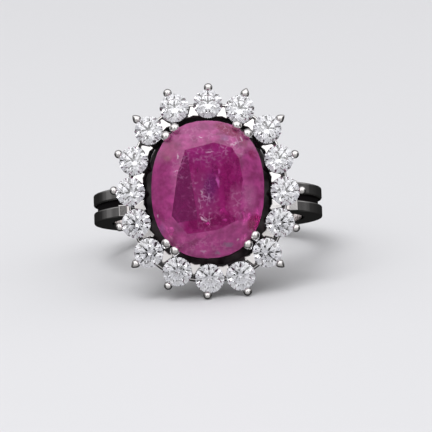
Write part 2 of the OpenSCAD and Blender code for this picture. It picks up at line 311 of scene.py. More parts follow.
# Marks in the ruby. Columns: place and half size across and along the stone in mm, turn in
# degrees, softness of the edge, colour and strength
rubyPlum = (-2.75, -0.24, 1.5, 2.75, 9.2, 0.02, "#7C2660", 0.9)
rubyTableMarks = [
    (-0.3, -0.9, 0.95, 2.2, 6, 0.5, "#A0407F", 0.65),    # silky middle
    (-0.2, 2.75, 1.9, 0.9, 0, 0.5, "#A02C7E", 0.6),      # silky top
    (0.25, 0.1, 0.55, 1.2, -5, 0.7, "#641E6A", 0.6),     # violet middle
    (1.65, 0.6, 0.5, 2.2, 3, 0.5, "#8E1262", 0.65),      # deep red right of it
    (2.55, -1.2, 0.8, 1.3, 0, 0.4, "#B04A88", 0.8),      # milky lower right
    (-2.45, -3.3, 0.5, 0.5, 25, 0.3, "#A84A88", 0.8),    # and lower left
    (0.1, -2.9, 1.7, 0.6, 10, 0.5, "#7C1254", 0.75),     # deep red bottom
    (0.5, -3.6, 2.4, 0.35, 14, 0.8, "#A83E80", 0.4),     # milky lower edge
    (0.85, 0.5, 0.12, 0.4, 12, 0.5, "#E46CC8", 0.8),     # painted highlights: glints and bright streaks
    (0.97, 1.35, 0.1, 0.2, 0, 0.5, "#DC60BC", 0.8),
    (1.4, -2.75, 0.14, 0.12, 0, 0.6, "#DC50B0", 0.7),
    (-0.36, -2.7, 0.3, 0.05, -30, 0.5, "#F4D0E8", 0.8),
    (-0.52, -0.45, 0.05, 0.18, 0, 0.5, "#F4D0E8", 0.7),
    (0.15, 3.0, 0.3, 0.05, 10, 0.5, "#ECB8DC", 0.7),
]
rubyCrownMarks = [
    (-0.36, 5.0, 3.0, 1.0, 0, 0.6, "#CC6CAC", 0.1),      # pale top
    (-4.0, -0.2, 0.8, 2.8, 0, 0.7, "#8A2062", 0.3),      # deeper left
    (-3.2, 3.2, 0.7, 0.8, 0, 0.6, "#A02464", 0.5),       # redder upper left
    (-3.35, 2.55, 0.3, 0.2, 0, 0.7, "#A8707C", 0.45),
    (3.5, -0.7, 0.5, 1.0, 0, 0.7, "#D47CB4", 0.5),       # pale right
    (-2.2, -3.2, 0.6, 0.6, 0, 0.5, "#8C3A78", 0.4),
    (-3.9, -3.4, 0.3, 0.4, 0, 0.6, "#9C66A4", 0.4),
    (1.44, 4.2, 0.3, 0.2, 0, 0.7, "#9C70A4", 0.5),
    (1.7, 4.95, 1.2, 0.42, -27, 0.35, "#8E0050", 0.85),  # deep red places at the edge
    (3.0, 3.9, 0.5, 0.25, -50, 0.5, "#8E0050", 0.6),
    (3.75, 2.9, 0.3, 0.4, 20, 0.5, "#8E0050", 0.7),
    (3.9, -2.85, 0.75, 0.5, 50, 0.3, "#8E0054", 0.9),
    (0.95, 4.5, 0.75, 0.05, 2, 0.5, "#7E0A50", 0.7),
    (1.72, -4.73, 0.4, 0.14, 0, 0.6, "#8A7A92", 0.7),    # grey chips
    (0.86, -5.4, 0.2, 0.12, 0, 0.6, "#A08CA6", 0.7),
    (-0.52, 4.31, 0.14, 0.06, -10, 0.5, "#FBE6F4", 0.9),  # painted highlights: glints
    (-2.52, 2.6, 0.09, 0.2, 0, 0.5, "#F8DCEE", 0.75),
    (-2.6, 1.38, 0.24, 0.05, 0, 0.5, "#ECBCDC", 0.7),
    (1.76, 2.98, 0.36, 0.08, 22, 0.5, "#F8DCEE", 0.85),
    (2.2, 3.68, 0.3, 0.07, 20, 0.5, "#F4D4EA", 0.7),
    (2.86, 4.2, 0.07, 0.16, 20, 0.5, "#F4D0E8", 0.8),
    (-4.2, -2.25, 0.07, 0.07, 0, 0.5, "#F8DCEE", 0.85),
    (-0.36, -5.28, 0.26, 0.08, 0, 0.6, "#EEC0E0", 0.6),
    (2.58, -4.26, 0.08, 0.14, 0, 0.5, "#F0C8E2", 0.7),
]
# Feathers: places where fine pale cracks show. Columns as above, without a colour
rubyFeathers = [
    (-0.3, -1.2, 0.95, 2.0, 8, 0.6, 0.62),
    (-0.3, 2.7, 1.9, 0.9, 0, 0.6, 0.32),
    (-0.6, 4.6, 2.2, 0.8, 0, 0.6, 0.3),
    (2.1, 3.5, 1.0, 1.0, 0, 0.6, 0.7),
    (-2.2, 1.6, 1.0, 1.4, 0, 0.6, 0.25),
    (2.6, -1.2, 1.1, 1.3, 0, 0.6, 0.35),
    (1.5, 4.9, 1.2, 0.6, -25, 0.6, 0.4),
    (-0.4, -4.8, 2.0, 0.7, 0, 0.6, 0.3),
]


def markMask(tree, place, shape, strength, boxed=False):
    # How much of a mark shows at each place, an oval one or one with straight sides
    x, y, halfX, halfY, turn, soft = shape
    moved = addNode(tree, "ShaderNodeMapping", {
        "vector_type": "TEXTURE", "Location": (x, y, 0), "Rotation": (0, 0, math.radians(turn)),
        "Scale": (halfX, halfY, markDepth), "Vector": place}).outputs["Vector"]
    if boxed:
        moved = addNode(tree, "ShaderNodeVectorMath", {
            "operation": "ABSOLUTE", 0: moved}).outputs[0]
        sides = addNode(tree, "ShaderNodeSeparateXYZ", {"Vector": moved}).outputs
        far = together(tree, "MAXIMUM", [sides["X"], sides["Y"]])
    else:
        far = addNode(tree, "ShaderNodeVectorMath", {
            "operation": "LENGTH", 0: moved}).outputs["Value"]
    return addNode(tree, "ShaderNodeMapRange", {
        "From Min": 1 + soft, "From Max": 1 - soft, "To Max": strength, "Value": far,
        "interpolation_type": "SMOOTHSTEP"}).outputs[0]


def makeRuby(look):
    # Natural ruby, faceted and polished: red corundum with veils and silk that scatter light,
    # so the crown glows milky pink and the table shows a darker inside behind pale feathers.
    material = newMaterial("silkyRuby")
    tree = material.node_tree
    place = coordinatesIn(tree, headFrame)
    height = addNode(tree, "ShaderNodeSeparateXYZ", {"Vector": place}).outputs["Z"]
    wander = addNode(tree, "ShaderNodeTexNoise", {
        "Scale": 1 / look["wobbleSize"], "Detail": 3, "Vector": place}).outputs["Color"]
    wander = addNode(tree, "ShaderNodeVectorMath", {
        "operation": "SUBTRACT", 0: wander, 1: (0.5, 0.5, 0.5)}).outputs[0]
    wobbly = addNode(tree, "ShaderNodeVectorMath", {
        "operation": "MULTIPLY_ADD", 0: wander, 1: (look["wobble"],) * 3, 2: place}).outputs[0]
    cloud, grain, fade = [addNode(tree, "ShaderNodeTexNoise", {
        "Scale": 1 / size, "Detail": detail, "Vector": place}).outputs["Fac"]
        for size, detail in (
            (look["cloudSize"], 4), (look["grainSize"], 4), (look["featherBreak"], 3))]
    across, along = look["streakSize"]
    stretched = addNode(tree, "ShaderNodeMapping", {
        "Scale": (1 / across, 1 / along, 1 / across), "Vector": place}).outputs["Vector"]
    streaks = addNode(tree, "ShaderNodeTexNoise", {
        "Scale": 1, "Detail": 3, "Distortion": 0.6, "Vector": stretched}).outputs["Fac"]
    wall = addNode(tree, "ShaderNodeTexVoronoi", {
        "feature": "DISTANCE_TO_EDGE", "Scale": 1 / look["featherSize"],
        "Vector": wobbly}).outputs["Distance"]
    # Each share: what it follows, the values where it is nothing and full, and how much is full
    table, cloud, streaks, pale, dark, crack, fade = [addNode(tree, "ShaderNodeMapRange", {
        "From Min": none, "From Max": full, "To Max": most, "Value": value}).outputs[0]
        for value, none, full, most in (
            (height, look["tableHeight"] - look["tableEdge"], look["tableHeight"], 1),
            (cloud, *noiseSpan, 1), (streaks, *noiseSpan, 1),
            (grain, look["grainMiddle"], look["grainPale"][1], look["grainShare"]),
            (grain, look["grainMiddle"], look["grainDark"][1], look["grainShare"]),
            (wall, look["featherWidth"], 0, 1), (fade, *look["featherFade"], 1))]
    tones = {}
    for name, pattern, marks in (
            ("crown", cloud, rubyCrownMarks), ("table", streaks, rubyTableMarks)):
        layers = [(linearColour(look[name][1]), pattern)]
        for *shape, colour, strength in marks:
            layers.append((linearColour(colour), markMask(tree, wobbly, shape, strength)))
        tones[name] = paintOver(tree, linearColour(look[name][0]), layers)
    *shape, colour, strength = rubyPlum
    plum = markMask(tree, place, shape, strength, True)
    tones["table"] = paintOver(tree, tones["table"], [(linearColour(colour), plum)])
    shown = together(tree, "MAXIMUM", [
        markMask(tree, wobbly, shape, strength) for *shape, strength in rubyFeathers])
    feather = together(tree, "MULTIPLY", [crack, fade, shown])
    tone = paintOver(tree, tones["crown"], [
        (tones["table"], table), (linearColour(look["grainPale"][0]), pale),
        (linearColour(look["grainDark"][0]), dark), (linearColour(look["feather"]), feather)])
    return endMaterial(material, {
        "Base Color": tone, "Roughness": look["roughness"], "IOR": look["ior"],
        "Transmission Weight": look["clear"], "Specular IOR Level": look["specular"]})


whiteGold = makeWhiteGold(whiteGoldLook)
diamond = makeDiamond(diamondLook)
rubyRed = makeRuby(rubyLook)
print("materials made")


# Outlines and meshes, all in millimetres
bevelAngle = 60                 # degrees, edges that turn less aren't softened
mergeDistance = 0.001


def roundedOutline(corners, steps=6):
    # Corners are (x, y, radius), anticlockwise. Each becomes an arc.
    points = []
    for k, (x, y, radius) in enumerate(corners):
        corner = Vector((x, y))
        before = (Vector(corners[k - 1][:2]) - corner).normalized()
        after = (Vector(corners[(k + 1) % len(corners)][:2]) - corner).normalized()
        half = before.angle(after) / 2
        middle = corner + (before + after).normalized() * radius / math.sin(half)
        start = corner + before * radius / math.tan(half) - middle
        end = corner + after * radius / math.tan(half) - middle
        first = math.atan2(start.y, start.x)
        sweep = math.atan2(start.x * end.y - start.y * end.x, start.dot(end))
        for n in range(steps + 1):
            angle = first + sweep * n / steps
            points.append(middle + Vector((math.cos(angle), math.sin(angle))) * radius)
    return points


def ovalRadius(halfWidth, halfLength, power, angle):
    across = (abs(math.cos(angle)) / halfWidth) ** power
    along = (abs(math.sin(angle)) / halfLength) ** power
    return (across + along) ** (-1 / power)


def ovalPath(halfWidth, halfLength, power, height, steps):
    return [polar(ovalRadius(halfWidth, halfLength, power, a), a, height)
            for a in fullTurn(steps)]


def loft(work, rings):
    # Joins rings of points with faces and closes both ends
    rows = [[work.verts.new(p) for p in ring] for ring in rings]
    for low, high in zip(rows, rows[1:]):
        for k in range(len(low)):
            n = (k + 1) % len(low)
            work.faces.new((low[k], low[n], high[n], high[k]))
    work.faces.new(rows[0][::-1])
    work.faces.new(rows[-1])


def prism(work, outline, low, high):
    loft(work, [[Vector((p.x, p.y, low)) for p in outline],
                [Vector((p.x, p.y, high)) for p in outline]])


def bevelEdges(work, width, steps):
    angle = math.radians(bevelAngle)
    edges = [e for e in work.edges if e.is_manifold and e.calc_face_angle() > angle]
    bmesh.ops.bevel(work, geom=edges, offset=width, segments=steps, profile=0.5,
                    affect="EDGES", clamp_overlap=True)


def tubeRings(points, radii, sides):
    # Circles round a path of points, which turn with it as little as possible
    rings = []
    side = None
    for k, point in enumerate(points):
        along = (points[min(k + 1, len(points) - 1)] - points[max(k - 1, 0)]).normalized()
        if side is None:
            side = along.orthogonal().normalized()
        side = (side - along * side.dot(along)).normalized()
        other = along.cross(side)
        rings.append([point + (side * math.cos(a) + other * math.sin(a)) * radii[k]
                      for a in fullTurn(sides)])
    return rings


def meshObject(name, work):
    bmesh.ops.recalc_face_normals(work, faces=work.faces)
    mesh = bpy.data.meshes.new(name)
    work.to_mesh(mesh)
    work.free()
    return addObject(name, mesh)


def curveObject(name, points):
    curve = bpy.data.curves.new(name, "CURVE")
    curve.dimensions = "3D"
    spline = curve.splines.new("POLY")
    spline.points.add(len(points) - 1)
    for target, point in zip(spline.points, points):
        target.co = (*point.to_3d(), 1)
    spline.use_cyclic_u = True
    return addObject(name, curve)


def bakedCopy(name, thing):
    view = bpy.context.evaluated_depsgraph_get()
    mesh = bpy.data.meshes.new_from_object(thing.evaluated_get(view))
    return addObject(name, mesh)


def removeThings(things):
    for thing in things:
        bpy.data.objects.remove(thing)


# Geometry Nodes

def newTree(name, inputs):
    tree = bpy.data.node_groups.new(name, "GeometryNodeTree")
    tree.interface.new_socket("Geometry", in_out="INPUT", socket_type="NodeSocketGeometry")
    for label, kind in inputs.items():
        tree.interface.new_socket(label, in_out="INPUT", socket_type="NodeSocket" + kind)
    tree.interface.new_socket("Geometry", in_out="OUTPUT", socket_type="NodeSocketGeometry")
    return tree, addNode(tree, "NodeGroupInput")


def endTree(tree, given, shape):
    # Instances become real meshes with their material, because the export drops instances
    real = addNode(tree, "GeometryNodeRealizeInstances", {0: shape}).outputs[0]
    made = addNode(tree, "GeometryNodeSetMaterial", {
        "Geometry": real, "Material": given.outputs["Material"]}).outputs[0]
    addNode(tree, "NodeGroupOutput", {"Geometry": made})
    return tree


def makeSweepTree():
    # A section that follows a closed path
    tree, given = newTree("sweepSection", {"Section": "Object", "Material": "Material"})
    section = addNode(tree, "GeometryNodeObjectInfo", {"Object": given.outputs["Section"]})
    swept = addNode(tree, "GeometryNodeCurveToMesh", {
        "Curve": given.outputs["Geometry"], "Profile Curve": section.outputs["Geometry"]})
    return endTree(tree, given, swept.outputs[0])


def makeSeatTree():
    # A shape at each point, turned as the point's facing says, with a slightly uneven size
    tree, given = newTree("shapeOnSeats", {"Shape": "Object", "Material": "Material",
                          "Smallest": "Float", "Largest": "Float", "Seed": "Int"})
    shape = addNode(tree, "GeometryNodeObjectInfo", {"Object": given.outputs["Shape"]})
    facing = addNode(tree, "GeometryNodeInputNamedAttribute", {
        "data_type": "FLOAT_VECTOR", "Name": "facing"})
    turn = addNode(tree, "FunctionNodeEulerToRotation", {0: facing.outputs["Attribute"]})
    size = addNode(tree, "FunctionNodeRandomValue", {
        "data_type": "FLOAT", 2: given.outputs["Smallest"], 3: given.outputs["Largest"],
        "Seed": given.outputs["Seed"]})
    placed = addNode(tree, "GeometryNodeInstanceOnPoints", {
        "Points": given.outputs["Geometry"], "Instance": shape.outputs["Geometry"],
        "Rotation": turn.outputs[0], "Scale": size.outputs[1]})
    return endTree(tree, given, placed.outputs[0])


sweepTree = makeSweepTree()
seatTree = makeSeatTree()


def realMesh(thing, tree, values):
    # Runs a tree on an object and gives the result as a plain mesh object
    modifier = thing.modifiers.new(tree.name, "NODES")
    modifier.node_group = tree
    for item in tree.interface.items_tree:
        if item.in_out == "INPUT" and item.name in values:
            modifier[item.identifier] = values[item.name]
    made = bakedCopy(thing.name + "Mesh", thing)
    thing.modifiers.remove(modifier)
    return made


def sweep(name, path, outline):
    track = curveObject(name, path)
    section = curveObject(name + "Section", outline)
    made = realMesh(track, sweepTree, {"Section": section, "Material": whiteGold})
    removeThings([track, section])
    return made


def seated(name, shape, seats, sizes, seed):
    # One shape on many seats, which are matrices in the head's frame
    mesh = bpy.data.meshes.new(name)
    mesh.from_pydata([seat.translation for seat in seats], [], [])
    facing = mesh.attributes.new("facing", "FLOAT_VECTOR", "POINT")
    for k, seat in enumerate(seats):
        facing.data[k].vector = seat.to_euler()
    points = addObject(name, mesh)
    made = realMesh(points, seatTree, {"Shape": shape, "Material": whiteGold,
                    "Smallest": sizes[0], "Largest": sizes[1], "Seed": seed})
    removeThings([points, shape])
    return made


# The halo: where each brilliant sits, from the top one round to its left.
# Columns: shift round the halo and turn of its claw about the stone, both in degrees, and
# shift outwards in mm
haloChart = [(0.0, -1, 0.07), (-0.6, 2, 0.19), (-1.1, 3, -0.08), (0.1, -2, 0), (0.4, -5, 0),
             (1.9, -13, -0.19), (1.3, -6, -0.05), (1.9, -13, -0.18), (1.3, -9, 0),
             (-1.2, 2, 0.24), (-1.1, 6, -0.05), (-0.9, 5, -0.15), (0.2, 3, 0),
             (2.2, -8, -0.22), (1.7, -8, 0.03), (1.4, 3, 0.05)]
halo = {
    "halfWidth": 6.55,
    "halfLength": 7.4,
    "power": 2.3,
    "level": 13.2,              # height of the girdles above the finger's axis
    "lean": 8,                  # degrees outwards
    "stoneRadius": 1.25,
    "gap": 0.03,
}
stoneNames = [f"diamond_{k + 1:02d}" for k in range(len(haloChart))]


def stoneAngle(k):
    return math.radians(90 + 360 * k / len(haloChart) + haloChart[k][0])


def haloRadius(angle, shift):
    return ovalRadius(halo["halfWidth"], halo["halfLength"], halo["power"], angle) + shift


def stoneSeat(k):
    angle = stoneAngle(k)
    radius = haloRadius(angle, haloChart[k][2])
    lean = Matrix.Rotation(math.radians(halo["lean"]), 4, "Y")
    place = Matrix.Translation(polar(radius, angle, halo["level"]))
    return place @ Matrix.Rotation(angle, 4, "Z") @ lean


def clawSeat(k):
    return stoneSeat(k) @ Matrix.Rotation(math.radians(haloChart[k][1]), 4, "Z")


# Shank: two polished bands with a groove between them
shank = {
    "thickness": 1.597,
    "width": 2.594,
    "groove": 0.6,
    "grooveDepth": 0.35,
    "outerRound": 0.15,
    "innerRound": 0.1,
    "steps": 256,
}


def makeShank(size):
    top = size["thickness"]
    floor = top - size["grooveDepth"]
    edge = size["width"] / 2
    lip = size["groove"] / 2
    soft = size["outerRound"]
    hard = size["innerRound"]
    half = [(0, -edge, hard), (top, -edge, soft), (top, -lip, soft), (floor, -lip, hard)]
    outline = roundedOutline(half + [(x, -y, r) for x, y, r in half[::-1]])
    path = ovalPath(fingerRadius, fingerRadius, 2, 0, size["steps"])
    made = sweep("shank", path, outline)
    made.data.transform(shankToHead)
    return made


# Shoulders: two arms a side, one from each band. Columns: share of the way from the shank to
# the rail under the brilliants, outer edge and inner edge, both from the straight line
shoulderChart = [(-0.11, -0.4, -1.3), (0, 0, -1.3), (0.2, 0.2, -1.3), (0.215, -0.5, -1.35),
                 (0.3, -0.62, -1.5), (0.45, -0.54, -1.45), (0.75, -0.28, -1.25),
                 (1.06, 0.11, -0.89)]
shoulder = {"footAside": 7.8, "soften": 0.08, "softenSteps": 3}
rails = {"steps": 160, "power": 2.3, "soften": 0.14, "softenSteps": 4}
# Each rail: half sizes of its line, its lower and upper heights, and the distances of its inner
# and outer walls from the line, at the bottom and at the top
railChart = {
    "foot": ((4.3, 5.3), (9.4, 10.9), (-0.45, 0.45), (0.25, 1.15)),
    "halo": ((6.55, 7.4), (11.5, 12.75), (-1.3, 0.2), (-0.98, 0.2)),
    "basket": ((4.275, 5.243), (12.4, 12.9), (-0.3, 0.3), (-0.3, 0.3)),
}


def makeShoulders(size):
    radius = fingerRadius + shank["thickness"]
    foot = Vector((size["footAside"], -math.sqrt(radius ** 2 - size["footAside"] ** 2)))
    half, heights, *_ = railChart["halo"]
    way = Vector((half[0], -heights[0])) - foot
    outer = [foot + way * s + Vector((x, 0)) for s, x, _ in shoulderChart]
    inner = [foot + way * s + Vector((x, 0)) for s, _, x in shoulderChart]
    outline = outer + inner[::-1]
    band = (shank["width"] - shank["groove"]) / 2
    work = bmesh.new()
    for side in (-1, 1):
        for low in (shank["groove"] / 2, -shank["groove"] / 2 - band):
            prism(work, [Vector((p.x * side, p.y)) for p in outline], low, low + band)
    bmesh.ops.recalc_face_normals(work, faces=work.faces)
    bevelEdges(work, size["soften"], size["softenSteps"])
    made = meshObject("shoulders", work)
    made.data.transform(shankToHead)
    return made


def makeRail(name):
    line, (low, high), bottom, top = railChart[name]
    half = (high - low) / 2
    soft = rails["soften"]
    # The section's y points down along the path
    outline = roundedOutline([(top[0], -half, soft), (top[1], -half, soft),
                              (bottom[1], half, soft), (bottom[0], half, soft)],
                             rails["softenSteps"])
    path = ovalPath(*line, rails["power"], low + half, rails["steps"])
    return sweep(name + "Rail", path, outline)


# Leaf claws: a ridged petal from the foot rail to the tip of each outer claw.
# Columns: share of the length, half width, ridge outside, thickness inside
leafChart = [(0, 0.36, 0.22, 0.22), (0.3, 0.6, 0.36, 0.22), (0.6, 0.92, 0.4, 0.2),
             (0.84, 0.56, 0.3, 0.18), (1, 0.22, 0.16, 0.14)]
claw = {
    "reach": 1.4,               # from the brilliant's axis to the ball
    "ball": 0.37,
    "ballUp": 0.16,
    "wire": 0.26,
    "wireDown": 0.6,
    "wireIn": 0.06,
    "wireWaist": 0.75,          # where the wire is thickest, as a share of the way down
    "wireEnds": 0.98,           # its size at both ends
    "neckDown": 1.06,           # where it ends, as a share of the way to the ball's neck
    "leafRootUp": 0.54,
    "leafTipIn": 0.1,
    "leafTipDown": 0.42,
    "leafSections": 15,
    "leafSides": 24,
    "leafPower": 1.35,          # 1 for straight flanks, 2 for round ones
    "leafEnd": 0.9999,          # just short of the chart's last row
    "sides": 28,
    "pointed": (2, 6, 10, 14, 15),
    "point": 0.38,              # how far a pointed tip is drawn out, as a share of the ball
    "pointThin": 0.45,          # and how much it narrows
    "sizes": (0.96, 1.0),
    "seed": 7,
}


def chartRow(chart, share):
    # A smooth curve through the chart's rows
    k = max(n for n in range(len(chart) - 1) if chart[n][0] <= share)
    rows = [Vector(chart[max(k - 1, 0)]), Vector(chart[k]), Vector(chart[k + 1]),
            Vector(chart[min(k + 2, len(chart) - 1)])]
    step = rows[2][0] - rows[1][0]
    t = (share - rows[1][0]) / step
    startSlope = (rows[2] - rows[0]) / max(rows[2][0] - rows[0][0], 1e-6) * step
    endSlope = (rows[3] - rows[1]) / max(rows[3][0] - rows[1][0], 1e-6) * step
    return (rows[1] * (2 * t ** 3 - 3 * t ** 2 + 1) + startSlope * (t ** 3 - 2 * t ** 2 + t)
            + rows[2] * (3 * t ** 2 - 2 * t ** 3) + endSlope * (t ** 3 - t ** 2))


def makeLeaves(size):
    work = bmesh.new()
    line, heights, *_ = railChart["foot"]
    for k in range(len(haloChart)):
        angle = stoneAngle(k)
        radius = ovalRadius(*line, rails["power"], angle)
        root = polar(radius, angle, heights[0] + size["leafRootUp"])
        tip = clawSeat(k) @ Vector((size["reach"] - size["leafTipIn"], 0, -size["leafTipDown"]))
        along = (tip - root).normalized()
        across = Vector((0, 0, 1)).cross(along).normalized()
        out = along.cross(across)
        rings = []
        for n in range(size["leafSections"]):
            share = n / (size["leafSections"] - 1) * size["leafEnd"]
            share, width, ridge, depth = chartRow(leafChart, share)
            centre = root + (tip - root) * share
            ring = []
            for turn in fullTurn(size["leafSides"]):
                x, y = math.cos(turn), math.sin(turn)
                x = math.copysign(abs(x) ** (2 / size["leafPower"]), x) * width
                deep = ridge if y > 0 else depth
                y = math.copysign(abs(y) ** (2 / size["leafPower"]), y) * deep
                ring.append(centre + across * x + out * y)
            rings.append(ring)
        loft(work, rings)
    return meshObject("leaves", work)


ballSteps = 12                  # rings of a ball from its neck on
ballSpan = 12.4                 # a little more, so that the last one stays open


def ballRings(middle, axis, ball, wire, first):
    # Middles and radii of the rings of a ball on a wire, from its neck nearly to its far end
    low = math.asin(wire / ball)
    turns = [low + (math.pi - low) * n / ballSpan for n in range(first, ballSteps + 1)]
    return ([middle - axis * ball * math.cos(turn) for turn in turns],
            [ball * math.sin(turn) for turn in turns])


def makeClawTip(size, pointed):
    # The upright end of a claw and its ball, in one turned shape whose origin is the ball's
    # middle. A pointed one is drawn out away from the stone.
    ball = size["ball"]
    start = Vector((-size["wireIn"], 0, -size["wireDown"] - size["ballUp"]))
    neck = -math.sqrt(ball ** 2 - size["wire"] ** 2)
    axis = -start.normalized()
    points = [start, start * size["wireWaist"], axis * neck * size["neckDown"]]
    radii = [size["wire"] * size["wireEnds"], size["wire"], size["wire"] * size["wireEnds"]]
    middles, ballRadii = ballRings(Vector(), axis, ball, size["wire"], 1)
    work = bmesh.new()
    loft(work, tubeRings(points + middles, radii + ballRadii, size["sides"]))
    if pointed:
        for vert in work.verts:
            out = max(vert.co.x, 0) / ball
            if vert.co.z > neck:
                vert.co.x += ball * size["point"] * out ** 2
                vert.co.y *= 1 - size["pointThin"] * out ** 2
    return meshObject("clawTip", work)


def makeClawTips(size):
    parts = []
    for pointed in (False, True):
        seats = [clawSeat(k) @ Matrix.Translation((size["reach"], 0, size["ballUp"]))
                 for k in range(len(haloChart)) if (k in size["pointed"]) == pointed]
        tip = makeClawTip(size, pointed)
        parts.append(seated("clawTips", tip, seats, size["sizes"], size["seed"]))
    return parts


# Plates: a small fishtail cap between two brilliants, on two wires that meet below it
plate = {
    "outer": 0.2,               # from the halo's centre line, towards the ruby
    "inner": 1.16,
    "halfWidth": 0.5,
    "tipHalfWidth": 0.1,
    "notch": 0.14,
    "rounds": (0.08, 0.3, 0.06),  # of the fishtail's ends, its notch and the tip
    "roundSteps": 4,
    "top": 13.52,
    "thickness": 0.3,
    "foot": 12.5,
    "wire": 0.15,
    "wireSides": 14,
    "wireFoot": (0.34, 0.155),  # outwards from the inner end, and half the space between them
    "wireTop": (0.22, 0.2),     # outwards from the inner end, and inwards from its corners
    "stem": 0.17,
    "stemIn": 0.3,              # from the outer end, towards the ruby
    "stemUp": 0.1,              # into the cap
    "soften": 0.08,
    "softenSteps": 2,
    "slant": 10,                # degrees, how much the cap falls away from the ruby
    "sizes": (1, 1),
    "seed": 0,
}


def makePlate(size):
    low = size["top"] - size["thickness"]
    wide = size["halfWidth"]
    narrow = size["tipHalfWidth"]
    endRound, notchRound, tipRound = size["rounds"]
    outline = roundedOutline([
        (-size["inner"], wide, endRound), (-size["inner"] + size["notch"], 0, notchRound),
        (-size["inner"], -wide, endRound), (-size["outer"], -narrow, tipRound),
        (-size["outer"], narrow, tipRound)], size["roundSteps"])
    work = bmesh.new()
    prism(work, outline, low, size["top"])
    bmesh.ops.recalc_face_normals(work, faces=work.faces)
    bevelEdges(work, size["soften"], size["softenSteps"])
    for vert in work.verts:
        vert.co.z -= (vert.co.x + size["inner"]) * math.tan(math.radians(size["slant"]))
    cap = meshObject("plate", work)
    work = bmesh.new()
    footOut, footAside = size["wireFoot"]
    topOut, topAside = size["wireTop"]
    for side in (-1, 1):
        foot = Vector((-size["inner"] + footOut, side * footAside, size["foot"]))
        top = Vector((-size["inner"] + topOut, side * (wide - topAside),
                      low + size["thickness"] / 2))
        loft(work, tubeRings([foot, top], [size["wire"]] * 2, size["wireSides"]))
    wires = meshObject("plateWires", work)
    work = bmesh.new()
    stem = [Vector((-size["outer"] - size["stemIn"], 0, z))
            for z in (size["foot"], low + size["stemUp"])]
    loft(work, tubeRings(stem, [size["stem"]] * 2, size["wireSides"]))
    post = meshObject("plateStem", work)
    return combine("plate", cap, [wires, post], [])


def makePlates(size):
    seats = []
    for k in range(len(haloChart)):
        following = (k + 1) % len(haloChart)
        wholeTurn = 2 * math.pi if following == 0 else 0
        angle = (stoneAngle(k) + stoneAngle(following) + wholeTurn) / 2
        radius = haloRadius(angle, (haloChart[k][2] + haloChart[following][2]) / 2)
        place = Matrix.Translation(polar(radius, angle, 0))
        seats.append(place @ Matrix.Rotation(angle, 4, "Z"))
    return seated("plates", makePlate(size), seats, size["sizes"], size["seed"])


# Ruby claws: four pairs of wires that end in balls over the ruby's edge.
# Columns: direction of the pair, half its spread, in degrees
rubyClawChart = [(60, 5.6), (123.5, 4.9), (237.5, 4.6), (310.5, 4.7)]
rubyClaw = {
    "half": (4.75, 5.825),      # the ruby's half width and half length
    "power": 2.3,
    "level": 14.9,
    "ball": 0.43,
    "wire": 0.3,
    "footShare": 0.87,
    "kneeShare": 1.05,
    "ballShare": 1.02,
    "footHeight": 9.65,
    "kneeDown": 0.9,
    "bendBelow": (0.12, 0.05, 0),  # where the knee is rounded, as shares of the way to the foot
    "bendAbove": 0.12,          # and of the way to the ball
    "ballUp": 0.34,
    "sides": 28,
}


def rubyEdge(angle, share, height):
    radius = share * ovalRadius(*rubyClaw["half"], rubyClaw["power"], angle)
    return polar(radius, angle, height)


def makeRubyClaws(size):
    work = bmesh.new()
    for direction, spread in rubyClawChart:
        for side in (-1, 1):
            angle = math.radians(direction + side * spread)
            foot = rubyEdge(angle, size["footShare"], size["footHeight"])
            knee = rubyEdge(angle, size["kneeShare"], size["level"] - size["kneeDown"])
            ball = rubyEdge(angle, size["ballShare"], size["level"] + size["ballUp"])
            points = [foot] + [knee + (foot - knee) * share for share in size["bendBelow"]]
            points.append(knee + (ball - knee) * size["bendAbove"])
            radii = [size["wire"]] * len(points)
            axis = (ball - knee).normalized()
            middles, ballRadii = ballRings(ball, axis, size["ball"], size["wire"], 0)
            loft(work, tubeRings(points + middles, radii + ballRadii, size["sides"]))
    return meshObject("rubyClaws", work)


# Rooms that the stones take in the metal. The brilliant's sizes are shares of its radius.
brilliant = {
    "table": 0.57,
    "crown": 0.3,
    "crownBend": (0.8, 0.24),
    "pavilion": 0.86,
    "girdle": 0.04,
    "culet": 0.02,              # mm
    "culetGap": 0.06,           # mm
    "sides": 48,
}


def makeDiamondRooms(size):
    radius = halo["stoneRadius"]
    gap = halo["gap"]
    bend, bendUp = size["crownBend"]
    profile = [
        (size["culet"], -(size["pavilion"] + size["girdle"]) * radius - size["culetGap"]),
        (radius + gap, -size["girdle"] * radius - gap),
        (radius + gap, size["girdle"] * radius + gap),
        (bend * radius + gap, bendUp * radius + gap),
        (size["table"] * radius + gap, (size["crown"] + size["girdle"]) * radius + gap),
    ]
    work = bmesh.new()
    for k in range(len(haloChart)):
        seat = stoneSeat(k)
        loft(work, [[seat @ polar(r, a, z) for a in fullTurn(size["sides"])]
                    for r, z in profile])
    return meshObject("diamondRooms", work)


def stoneCopy(name, node, grow):
    # A merged copy of a CAD stone in the head's frame, grown from its middle. It takes the
    # corners and faces alone, because the CAD mesh brings its own normals.
    source = frame["nodes"][node].data
    toHead = headFrame.inverted()
    work = bmesh.new()
    corners = [work.verts.new(toHead @ vert.co) for vert in source.vertices]
    for face in source.polygons:
        work.faces.new([corners[k] for k in face.vertices])
    bmesh.ops.remove_doubles(work, verts=work.verts, dist=mergeDistance)
    centre = sum((v.co for v in work.verts), Vector()) / len(work.verts)
    for vert in work.verts:
        vert.co += (vert.co - centre).normalized() * grow
    return meshObject(name, work)


def combine(name, base, added, cut):
    # One closed mesh from overlapping ones
    for things, operation in ((added, "UNION"), (cut, "DIFFERENCE")):
        for thing in things:
            modifier = base.modifiers.new(operation, "BOOLEAN")
            modifier.operation = operation
            modifier.solver = "MANIFOLD"
            modifier.object = thing
    made = bakedCopy(name, base)
    removeThings([base] + added + cut)
    return made


